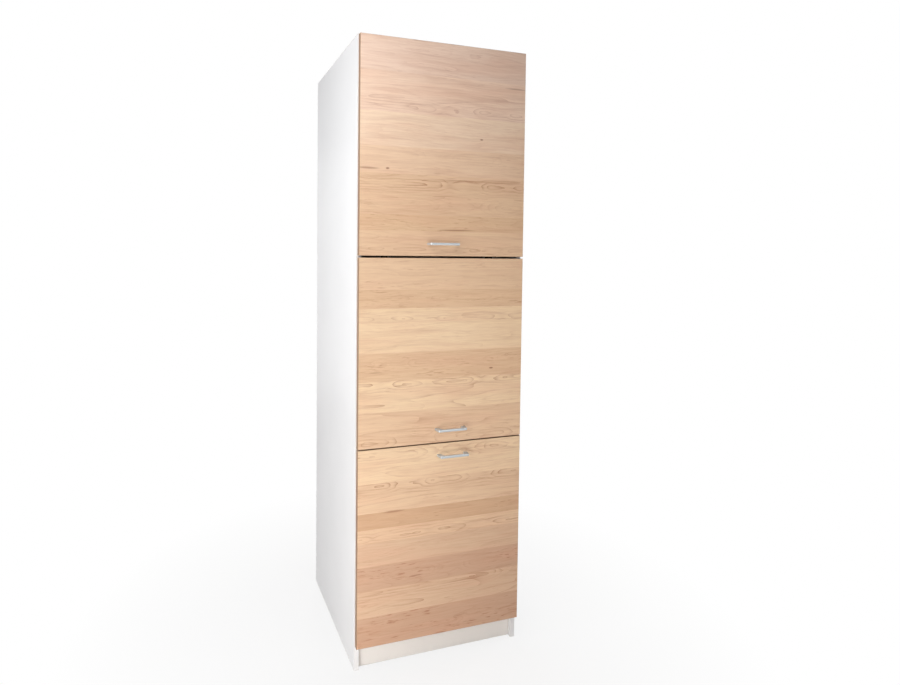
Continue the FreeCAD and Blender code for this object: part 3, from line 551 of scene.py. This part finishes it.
def maple(node, strips, marks, seed):
    """Maple decor on one front. strips are (height in mm, tone, eyes, heart) from its top edge, where
    eyes is the strength of the row of eyes and heart its place in the strip. marks are the knots and
    dark streaks as (x, z, length, height, strength), and seed sets its grain apart from the others."""
    low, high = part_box(node)
    draw = random.Random(seed)
    tall = high.z - low.z
    total = sum(strip[0] for strip in strips)
    tones = []
    figures = []
    start = 0.0
    for height, tone, eyes, heart in strips:
        share = height / total
        tones.append((start, MAPLE[tone]))
        figures.append((start, (start + share * heart, draw.random(), eyes, FLECKS[tone])))
        start += share
    material, shader, place = finish_named("maple_decor_" + node, Specular_IOR_Level=0.3)
    x, y, z = place.parts()
    share = (high.z - z) / tall
    tone = place.node("ShaderNodeValToRGB", {"stops": tones}, {0: share})
    figure = place.node("ShaderNodeValToRGB", {"stops": figures}, {0: share})
    flecks = figure.also(1)
    centre = place.node("ShaderNodeSeparateColor", None, {0: figure})
    lot, eyes = centre.also(1), centre.also(2)
    # Growth rings of a plank whose cut wanders about one ring: a row of long pointed eyes in some strips
    sway = place.noise((3, 3, 14), detail=2.0)
    wobble = place.noise((24, 24, 110), detail=2.0, shift=(seed, 6, 0))
    reach = (share - centre) * tall + (sway - 0.5) * RING_SWAY
    line_of_cut = place.node("ShaderNodeCombineXYZ", None, {
        "X": x * CUTS_PER_METRE + lot * CUT_APART[0], "Y": lot * CUT_APART[1]})
    cut = line_of_cut.noise((1, 1, 1), detail=2.0) - 0.5
    depth = CUT_DEPTH + cut * CUT_WANDER
    ring = (reach * reach + depth * depth).maths("SQRT") + (wobble - 0.5) * RING_WOBBLE
    wave = (ring / RING_STEP + lot * RINGS_APART).maths("FRACT")
    faint = place.noise((7, 7, 40), detail=2.0, shift=(seed, 7, 0)).above(0.3, 0.35)
    line = (wave ** RING_EDGE) * eyes * faint * (1.0 - abs(reach) / EYE_REACH).larger(0.0)
    # Broad clouds, soft wavy streaks, fine fibre and short flecks along the grain of every strip
    bent = place.node("ShaderNodeCombineXYZ", None, {
        "X": x + lot * GRAIN_APART, "Y": y,
        "Z": z + (sway - 0.5) * GRAIN_SWAY + (wobble - 0.5) * GRAIN_WOBBLE})
    cloud = bent.noise((2.5, 2, 12), detail=2.0, shift=(seed, 4, 0))
    glow = bent.noise((3.5, 2, 22), detail=2.0, shift=(seed, 8, 0))
    streak = bent.noise((4.5, 2, 80), detail=4.0, roughness=0.6, shift=(seed, 1, 0))
    fibre = bent.noise((14, 9, 420), detail=3.0, roughness=0.65, shift=(seed, 2, 0))
    fleck = bent.noise((26, 26, 300), detail=2.0, shift=(seed, 3, 0)).above(0.6, 0.1)
    gather = bent.noise((5, 5, 30), detail=2.0, shift=(seed, 5, 0)).above(0.42, 0.2)
    level = bent.noise((1.2, 2, 15), detail=1.5, shift=(seed, 9, 0))
    contour = (level * CONTOURS + lot).maths("FRACT") ** CONTOUR_EDGE
    colour = (cloud.above(0.4, 0.5) * CLOUD).mix(tone, RING_BROWN)
    colour = (glow.above(0.46, 0.3) * GLOW).mix(colour, WARM_GLOW)
    colour = (streak.above(0.46, 0.35) * STREAK).mix(colour, RING_BROWN)
    colour = (fibre.above(0.42, 0.3) * FIBRE).mix(colour, RING_BROWN)
    colour = (contour * faint * (CONTOUR_PLAIN + eyes * CONTOUR_EYED)).mix(colour, FLECK_BROWN)
    colour = (line * RING_LINE).mix(colour, FLECK_BROWN)
    colour = (fleck * gather * flecks * FLECK).mix(colour, FLECK_BROWN)
    for mark_x, mark_z, length, height, strength in marks:
        reach_x = (x - mark_x) / (length / 2)
        reach_z = (z - mark_z + (sway - 0.5) * height) / (height / 2)
        spot = 1.0 - (reach_x * reach_x + reach_z * reach_z)
        colour = (spot.above(0.0, MARK_SOFT) * strength).mix(colour, KNOT_BROWN)
    rim = abs(x) - (high.x - EDGING_WIDTH)
    rim = rim.larger(abs(z - (low.z + high.z) / 2) - (tall / 2 - EDGING_WIDTH))
    colour = rim.above(0.0, SKIN).mix(colour, FRONT_EDGE)
    relief = fibre * 0.6 - line * 0.4
    feed(shader, Base_Color=colour, Roughness=0.42 + streak * 0.12, Normal=relief.bump(0.06, 0.0003))
    dress(material, node)


maple("upper_front", (
    (108, "shell", 0.25, 0.3), (127, "rose", 0.7, 0.86), (110, "pearl", 0.1, 0.5), (88, "oat", 0.2, 0.3),
    (68, "honey", 1.0, 0.45), (64, "honey", 0.3, 0.5), (50, "tan", 0.2, 0.6), (84, "honey", 0.5, 0.75),
), (
    (0.131, 1.762, 0.014, 0.007, 0.7), (-0.204, 1.649, 0.015, 0.008, 0.7),
    (-0.27, 1.648, 0.085, 0.009, 0.45), (0.04, 1.455, 0.15, 0.007, 0.55),
    (0.262, 1.941, 0.1, 0.007, 0.4),
), 5)
maple("middle_front", (
    (102, "honey", 0.2, 0.15), (61, "tan", 0.3, 0.5), (47, "cream", 0.5, 0.8), (100, "cream", 0.1, 0.5),
    (90, "tan", 0.25, 0.4), (103, "cream", 1.0, 0.12), (117, "honey", 0.6, 0.85),
), (
    (0.179, 0.986, 0.018, 0.007, 0.75), (-0.24, 0.99, 0.05, 0.004, 0.35),
), 13)
maple("lower_front", (
    (111, "cream", 0.7, 0.2), (97, "honey", 1.0, 0.1), (53, "bark", 0.2, 0.3), (47, "honey", 0.8, 0.7),
    (77, "fawn", 0.1, 0.4), (80, "blush", 0.3, 0.5), (90, "fawn", 0.9, 0.12), (100, "blush", 0.3, 0.6),
), (
    (-0.17, 0.527, 0.09, 0.009, 0.4), (-0.09, 0.3, 0.06, 0.005, 0.4),
), 23)

# Handles
# Bow handles of drawn aluminium, satin anodised, each held by two screws from behind the front.
satin, shader, place = finish_named("satin_aluminium", Metallic=0.6)
brush = place.noise((40, 1400, 1400), detail=3.0)
feed(shader, Base_Color=brush.mix(paint(198, 204, 208), paint(178, 185, 190)),
     Roughness=0.42 + brush * 0.14, Normal=brush.bump(0.06, 0.0001))
dress(satin, "upper_handle", "middle_handle", "lower_handle")

# Flap hinges
# Nickel-plated cup hinges, two to a flap: the cup sits in the flap, the arm on a plate screwed under
# the board above. The arms and plates are a dark grey that is painted shade, to keep the gap between the
# flaps dark.
nickel = plated("nickel_plated_steel", paint(214, 211, 204), paint(188, 184, 176), 0.2)
# Painted shade: a dark grey plated finish for the hinge arms and plates, standing in for the shade in the
# gaps between the fronts.
painted_shade_plate = plated("dark_nickel_plate", paint(88, 84, 79), paint(70, 66, 62), 0.45)
for flap in ("upper", "middle"):
    dress(nickel, f"{flap}_hinge_cups", f"{flap}_hinge_pins")
    dress(painted_shade_plate, f"{flap}_hinge_arms", f"{flap}_hinge_plates")

# Gas struts
# Black painted tubes with hard-chromed rods that hold an opened flap up, two to a flap, each between
# plated brackets screwed to the side and to the flap.
black, shader, place = finish_named("black_paint", Specular_IOR_Level=0.5)
peel = place.noise((500, 500, 500), detail=2.0)
feed(shader, Base_Color=peel.mix(paint(26, 26, 27), paint(38, 38, 40)), Roughness=0.3 + peel * 0.12,
     Normal=peel.bump(0.1, 0.0001))
chrome = plated("hard_chrome", paint(222, 223, 225), paint(204, 206, 209), 0.1)
for flap in ("upper", "middle"):
    dress(black, f"{flap}_strut_cylinders")
    dress(chrome, f"{flap}_strut_rods")
    dress(zinc, f"{flap}_strut_flap_brackets")
dress(zinc, "strut_side_brackets")

# Buffers
# Soft clear pads, two to a flap, stuck behind it where it meets the edges of the sides. Each has
# a domed top.
BUFFER_SINK = 0.0014
soft_clear = moulded("soft_buffer", paint(214, 214, 208), paint(202, 202, 196), 0.35)
for flap in ("upper", "middle"):
    buffer_seats = []
    for lump in lumps(f"{flap}_buffers"):
        low, high = span(lump)
        buffer_seats.append((((low.x + high.x) / 2, low.y, (low.z + high.z) / 2), (0, 1, 0)))
    pads = fittings(f"{flap}_domed_buffers", button_tree, buffer_seats, f"{flap}_flap", "buffer",
                    Finish=soft_clear, Radius=(high.x - low.x) / 2, Height=high.y - low.y, Sink=BUFFER_SINK)
    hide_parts(f"{flap}_buffers")

# Pull-out box
# White boards screwed behind the lower front, with a round white rail over each side.
for board in ("drawer_left_side", "drawer_right_side", "drawer_back", "drawer_inner_front"):
    white_board(board, (("z", -1),))
white_board("drawer_bottom", ())
powder = moulded("white_powder_coat", paint(240, 240, 238), paint(233, 233, 231), 0.3)
dress(powder, "gallery_rails")

# Runners
# Three zinc-plated steel channels, one inside the other, on each side of the pull-out: the outer one
# is screwed to the cabinet and the inner one carries the box.
dress(zinc, "runner_cabinet_members", "runner_middle_members", "runner_drawer_members", "runner_screws")

# Screws
# Zinc-plated screws with a low domed head and a crossed slot, for the fittings, the handles and the
# pull-out's front. The handle screws are machine screws and the others have a point.
POINT = 0.003
BLUNT = 0.0005
HEAD_CROWN = 0.55
SLOT_REACH = 1.15
SLOT_WIDTH = 0.28
SLOT_DEPTH = 0.6
SHANK_SIDES = 12
TIP_TAPER = 0.3
CORE_SHARE = 0.2
RIM_SHARE = 0.9
inputs = fitting_tree("screw", "Head radius", "Head height", "Shank radius", "Length", "Point")
start = inputs["Points"]
radius = inputs["Head radius"]
height = inputs["Head height"]
core = inputs["Shank radius"]
head = domed(start, radius, height, height * HEAD_CROWN)
head = crossed(head, radius * SLOT_REACH, radius * SLOT_WIDTH, height * SLOT_DEPTH, height)
straight = inputs["Length"] - inputs["Point"]
shank = start.node("GeometryNodeMeshCylinder", {"fill_type": "NGON"}, {
    "Vertices": SHANK_SIDES, "Radius": core, "Depth": straight})
tip = start.node("GeometryNodeMeshCone", {"fill_type": "NGON"}, {
    "Vertices": SHANK_SIDES, "Radius Top": core, "Radius Bottom": core * TIP_TAPER,
    "Depth": inputs["Point"]})
screw = joined(head, moved(shank, straight * -0.5), moved(tip, 0.0 - inputs["Length"]))
screw_tree = set_out(inputs, screw)
for node, body, point in (
    ("carcass_fitting_screws", "carcass", POINT), ("upper_fitting_screws", "upper_flap", POINT),
    ("middle_fitting_screws", "middle_flap", POINT), ("upper_handle_screws", "upper_flap", BLUNT),
    ("middle_handle_screws", "middle_flap", BLUNT), ("lower_handle_screws", "pull_out", BLUNT),
    ("drawer_front_screws", "pull_out", POINT),
):
    # The screws of one node are alike, so the sizes of the last one serve for all
    screw_seats = []
    for lump in lumps(node):
        low, high = span(lump)
        size = high - low
        axis = max(range(3), key=lambda index: size[index])
        middle = (low + high) / 2
        wide = []
        for corner in lump:
            out = corner - middle
            out[axis] = 0.0
            wide.append((out.length, corner[axis]))
        head_radius = max(wide)[0]
        shank_radius = min(reach for reach, at in wide if reach > head_radius * CORE_SHARE)
        rims = [at for reach, at in wide if reach > head_radius * RIM_SHARE]
        way = 1.0 if sum(rims) / len(rims) > middle[axis] else -1.0
        seat = middle.copy()
        seat[axis] = min(rims) if way > 0 else max(rims)
        head_height = max(rims) - min(rims)
        aim = [0.0, 0.0, 0.0]
        aim[axis] = way
        screw_seats.append((tuple(seat), tuple(aim)))
    turned_screws = fittings(node + "_cross_head", screw_tree, screw_seats, body, "zinc_steel", Finish=zinc,
                             Head_radius=head_radius, Head_height=head_height, Shank_radius=shank_radius,
                             Length=size[axis] - head_height, Point=point)
    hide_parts(node)

# Studio
# A pale floor that fades into a white surround. Soft lamps stand all round, most of the light coming
# from the front and the left, with one overhead and a weak fill.
FLOOR_REACH = 30.0
FLOOR_GREY = paint(214, 214, 214)
FADE_START = 0.35
FADE_WIDTH = 0.9
NEAR_WHITE = 0.8
FILL = 0.17
FILL_TINT = (1.0, 0.91, 0.885, 1.0)
WHITE = (1.0, 1.0, 1.0, 1.0)
scene = bpy.context.scene
scene.view_settings.view_transform = "Standard"


def background_rays(start):
    """1 for the rays that show the background: from the camera, and by way of metal or glass."""
    straight_on = start.node("ShaderNodeLightPath", None, None, "Is Camera Ray")
    mirrored = straight_on.larger(straight_on.also("Is Glossy Ray"))
    return mirrored.larger(straight_on.also("Is Transmission Ray"))


floor_mesh = bpy.data.meshes.new("floor")
shape = bmesh.new()
bmesh.ops.create_grid(shape, x_segments=1, y_segments=1, size=FLOOR_REACH)
shape.to_mesh(floor_mesh)
shape.free()
floor = bpy.data.objects.new("floor", floor_mesh)
scene.collection.objects.link(floor)
floor_paint, shader, place = finish_named("floor_paint", Roughness=0.9, Base_Color=FLOOR_GREY)
x, y = place.parts()[:2]
away = (x * x + y * y).maths("SQRT")
fade = NEAR_WHITE + away.above(FADE_START, FADE_WIDTH) * (1 - NEAR_WHITE)
seen = background_rays(place)
glow = place.node("ShaderNodeEmission", None, {"Color": WHITE, "Strength": 1.0})
mixed = place.node("ShaderNodeMixShader", None, {
    0: fade * seen, 1: Wire(place.tree, shader.outputs[0]), 2: glow})
out = floor_paint.node_tree.nodes["Material Output"]
floor_paint.node_tree.links.new(mixed.socket, out.inputs["Surface"])
floor_mesh.materials.append(floor_paint)

world = bpy.data.worlds.new("surround")
scene.world = world
world.use_nodes = True
sky = world.node_tree.nodes["Background"]
seen = background_rays(Wire(world.node_tree))
feed(sky, Strength=FILL + seen * (1 - FILL), Color=seen.mix(FILL_TINT, WHITE))


def lamp(name, at, aim, width, height, power, colour):
    """A soft lamp at a place, turned to a point, with its size in metres and its power in watts."""
    data = bpy.data.lights.new(name, "AREA")
    data.shape = "RECTANGLE"
    data.size = width
    data.size_y = height
    data.energy = power
    data.color = colour
    thing = bpy.data.objects.new(name, data)
    thing.location = at
    thing.rotation_euler = (Vector(aim) - Vector(at)).to_track_quat("-Z", "Y").to_euler()
    thing.visible_camera = False
    scene.collection.objects.link(thing)


lamp("high_lamp", (-0.6, -1.0, 2.1), (-0.24, -0.28, 1.75), 0.5, 0.3, 4.6, (1.0, 0.985, 0.965))
lamp("low_lamp", (-0.65, -1.35, 1.0), (-0.3, -0.28, 0.5), 0.5, 0.2, 0.7, (1.0, 0.965, 0.93))
lamp("middle_lamp", (0.25, -1.3, 0.95), (0.15, -0.28, 1.3), 0.3, 0.15, 2.3, (1.0, 0.975, 0.95))
lamp("foot_lamp", (-0.8, -1.2, 0.3), (-0.26, -0.25, 0.05), 0.4, 0.2, 4.6, (1.0, 0.97, 0.94))
lamp("left_lamp", (-1.2, -1.05, 0.9), (-0.3, -0.28, 0.7), 0.3, 1.5, 6.6, (1.0, 0.975, 0.95))
lamp("side_lamp", (-1.75, -0.5, 1.7), (-0.3, 0.05, 1.45), 0.6, 0.8, 13.8, (0.95, 0.98, 1.0))
lamp("right_lamp", (2.2, 0.05, 1.2), (0.3, 0.05, 1.1), 1.0, 1.8, 26.0, (1.0, 1.0, 1.0))
lamp("back_lamp", (0.0, 2.3, 1.2), (0.0, 0.3, 1.1), 1.0, 1.8, 28.0, (1.0, 1.0, 1.0))
lamp("top_lamp", (0.0, 0.5, 3.6), (0.0, 0.1, 2.0), 1.0, 1.0, 14.0, (1.0, 1.0, 1.0))

# Camera
# Where the photograph was taken from, worked out from the cabinet's own corners.
PHOTO_WIDTH = 900
PHOTO_HEIGHT = 685
FOCAL_PIXELS = 597.4
CENTRE_PIXEL = (376.81, 278.99)
EYE = Vector((-0.8345, -2.1086, 1.3654))
TURN = math.radians(18.14)
TILT = math.radians(-2.15)
ROLL = math.radians(0.433)
camera_data = bpy.data.cameras.new("camera")
camera_data.sensor_fit = "HORIZONTAL"
camera_data.lens = camera_data.sensor_width * FOCAL_PIXELS / PHOTO_WIDTH
camera_data.shift_x = (PHOTO_WIDTH / 2 - CENTRE_PIXEL[0]) / PHOTO_WIDTH
camera_data.shift_y = (CENTRE_PIXEL[1] - PHOTO_HEIGHT / 2) / PHOTO_WIDTH
camera = bpy.data.objects.new("camera", camera_data)
ahead = Vector((math.sin(TURN) * math.cos(TILT), math.cos(TURN) * math.cos(TILT), math.sin(TILT)))
level = Vector((math.cos(TURN), -math.sin(TURN), 0.0))
upright = level.cross(ahead)
right = level * math.cos(ROLL) + upright * math.sin(ROLL)
upright = upright * math.cos(ROLL) - level * math.sin(ROLL)
turned = Matrix((right, upright, -ahead)).transposed().to_4x4()
camera.matrix_world = Matrix.Translation(EYE) @ turned
scene.collection.objects.link(camera)
scene.camera = camera
